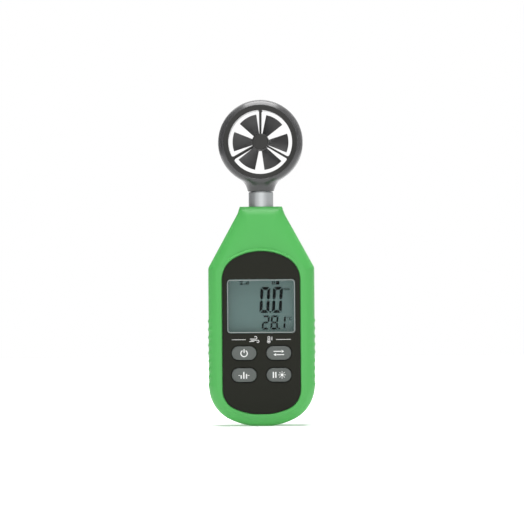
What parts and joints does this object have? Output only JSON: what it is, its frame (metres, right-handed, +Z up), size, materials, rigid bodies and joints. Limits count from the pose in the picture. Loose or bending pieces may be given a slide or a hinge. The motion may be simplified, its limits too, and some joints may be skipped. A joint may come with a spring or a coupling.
{
  "type": "handheld weather meter",
  "caption": "Pocket vane anemometer with thermometer: a tapered grip housing with a display and keys, and a guarded vane in a ring head on a short neck",
  "frame": {"origin": "middle of the foot, where the upright meter stands: the middle of its box in X and Y, at its lowest level", "axes": "+Z up the length from foot to vane head, -Y out of the face with the display and keys, +Y out of the back, +X to the right seen from the front; the wind axis is Y"},
  "size_m": [0.0518, 0.028, 0.1584],
  "materials": {
    "housing_plastic": "fine satin moulded plastic, leaf green",
    "head_plastic": "satin black moulded plastic",
    "vane_plastic": "thin black moulded plastic, satin",
    "panel_plastic": "charcoal face plate, fine matt",
    "window_plastic": "clear polished acrylic lens",
    "display": "grey reflective display glass",
    "white_plastic": "white moulded plastic",
    "connector_rubber": "layered conductive rubber strip",
    "circuit_board": "green solder mask",
    "chip_plastic": "black moulded resin",
    "key_rubber": "mid grey silicone rubber, matt",
    "lead_sheath": "black cable sheath",
    "satin_aluminium": "turned and satin anodised",
    "bright_steel": "plated steel",
    "bearing_brass": "turned brass bush",
    "cell_jacket": "plain wrapped cell"
  },
  "bodies": {
    "housing": {"backlight": "white_plastic", "battery_cell_1": "cell_jacket", "battery_cell_2": "cell_jacket", "battery_cell_3": "cell_jacket", "case_screw_1": "bright_steel", "case_screw_2": "bright_steel", "case_screw_3": "bright_steel", "case_screw_4": "bright_steel", "contact_plate_1": "bright_steel", "contact_plate_2": "bright_steel", "contact_plate_3": "bright_steel", "contact_spring_1": "bright_steel", "contact_spring_2": "bright_steel", "contact_spring_3": "bright_steel", "controller_chip": "chip_plastic", "crystal": "bright_steel", "display_window": "window_plastic", "face_panel": "panel_plastic", "front_bearing": "bearing_brass", "front_guard": "head_plastic", "front_shell": "housing_plastic", "head_ring": "head_plastic", "keypad_mat": "key_rubber", "lcd_glass": "display", "lcd_holder": "white_plastic", "lead_connector": "white_plastic", "main_board": "circuit_board", "neck_tube": "satin_aluminium", "pickup_board": "circuit_board", "pickup_sensor": "chip_plastic", "rear_bearing": "bearing_brass", "rear_guard": "head_plastic", "rear_shell": "housing_plastic", "sensor_lead": "lead_sheath", "temperature_bead": "chip_plastic", "zebra_strip": "connector_rubber"},
    "impeller": {"impeller": "vane_plastic", "impeller_shaft": "bright_steel"},
    "battery_door": {"battery_door": "housing_plastic", "door_screw": "bright_steel"},
    "power_key": {"power_key": "key_rubber"},
    "unit_key": {"unit_key": "key_rubber"},
    "max_avg_key": {"max_avg_key": "key_rubber"},
    "hold_light_key": {"hold_light_key": "key_rubber"}
  },
  "joints": [
    {"name": "impeller_spin", "type": "hinge", "parent": "housing", "child": "impeller", "pos_m": [0, 0, 0.13775], "axis": [0, 1, 0], "continuous": true},
    {"name": "battery_door_hinge", "type": "hinge", "parent": "housing", "child": "battery_door", "pos_m": [0, 0.014, 0.0112], "axis": [-1, 0, 0], "range_deg": [0, 50]},
    {"name": "power_key_press", "type": "slide", "parent": "housing", "child": "power_key", "axis": [0, 1, 0], "range_m": [0, 0.0008], "stiffness_N_per_m": 600},
    {"name": "unit_key_press", "type": "slide", "parent": "housing", "child": "unit_key", "axis": [0, 1, 0], "range_m": [0, 0.0008], "stiffness_N_per_m": 600},
    {"name": "max_avg_key_press", "type": "slide", "parent": "housing", "child": "max_avg_key", "axis": [0, 1, 0], "range_m": [0, 0.0008], "stiffness_N_per_m": 600},
    {"name": "hold_light_key_press", "type": "slide", "parent": "housing", "child": "hold_light_key", "axis": [0, 1, 0], "range_m": [0, 0.0008], "stiffness_N_per_m": 600}
  ]
}
